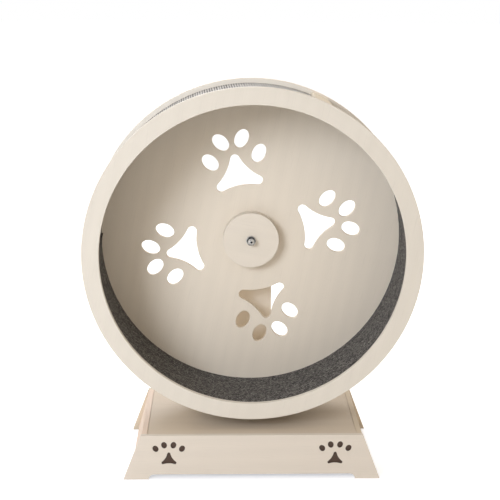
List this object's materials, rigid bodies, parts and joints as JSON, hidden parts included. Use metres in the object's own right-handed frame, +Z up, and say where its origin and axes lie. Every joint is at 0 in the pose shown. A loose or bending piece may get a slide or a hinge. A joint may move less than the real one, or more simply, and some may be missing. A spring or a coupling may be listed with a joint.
{
  "type": "cat running wheel",
  "caption": "Carpeted plywood running wheel for cats, open at the front, turning on one axle above a wooden box stand with sunk paw prints.",
  "frame": {"origin": "on the floor, in the middle of the overall width and depth", "axes": "+Z up, +Y along the axle from the wheel's open side towards the upright, +X to the right seen from the open side"},
  "size_m": [0.9999, 0.452, 1.174],
  "materials": {
    "plywood": "clear-sealed birch plywood",
    "bent_plywood": "bent plywood, unsealed",
    "pine": "planed pine",
    "needle_felt": "dark grey needle felt",
    "woven_cloth": "grey woven cloth",
    "zinc_plated_steel": "bright zinc",
    "bearing_steel": "ground and polished",
    "pressed_steel": "pressed strip",
    "seal_rubber": "moulded nitrile rubber"
  },
  "bodies": {
    "stand": {"bearing_outer_rings": "bearing_steel", "bearing_seals": "seal_rubber", "front_bearing_block": "plywood", "rear_bearing_block": "plywood", "block_bolts": "zinc_plated_steel", "block_washers": "zinc_plated_steel", "block_nuts": "zinc_plated_steel", "upright_post": "plywood", "upright_bolts": "zinc_plated_steel", "upright_washers": "zinc_plated_steel", "upright_nuts": "zinc_plated_steel", "front_board": "plywood", "rear_board": "plywood", "left_end_board": "plywood", "right_end_board": "plywood", "deck_board": "plywood", "corner_blocks": "pine", "corner_screws": "zinc_plated_steel", "deck_cleats": "pine", "cleat_screws": "zinc_plated_steel"},
    "wheel": {"front_ring": "plywood", "back_disc": "plywood", "track_hoop_upper": "bent_plywood", "track_hoop_lower": "bent_plywood", "splice_battens": "pine", "splice_screws": "zinc_plated_steel", "running_carpet": "needle_felt", "outer_wrap_upper": "woven_cloth", "outer_wrap_lower": "woven_cloth", "disc_screws": "zinc_plated_steel", "hub_boss": "plywood", "rear_hub_plate": "plywood", "hub_screws": "zinc_plated_steel", "axle_bolt": "zinc_plated_steel", "front_axle_washer": "zinc_plated_steel", "rear_axle_washer": "zinc_plated_steel", "axle_clamp_nut": "zinc_plated_steel", "front_spacer_sleeve": "zinc_plated_steel", "middle_spacer_sleeve": "zinc_plated_steel", "rear_spacer_ring": "zinc_plated_steel", "axle_lock_nut": "zinc_plated_steel", "bearing_inner_rings": "bearing_steel"},
    "bearing_rollers": {"bearing_balls": "bearing_steel", "bearing_cages": "pressed_steel"}
  },
  "joints": [
    {"name": "wheel_spin", "type": "hinge", "parent": "stand", "child": "wheel", "pos_m": [0, 0.177, 0.674], "axis": [0, 1, 0], "continuous": true},
    {"name": "cage_roll", "type": "hinge", "parent": "stand", "child": "bearing_rollers", "pos_m": [0, 0.177, 0.674], "axis": [0, 1, 0], "continuous": true}
  ],
  "couplings": [
    {"joint": "cage_roll", "follows": "wheel_spin", "ratio": 0.3833}
  ]
}
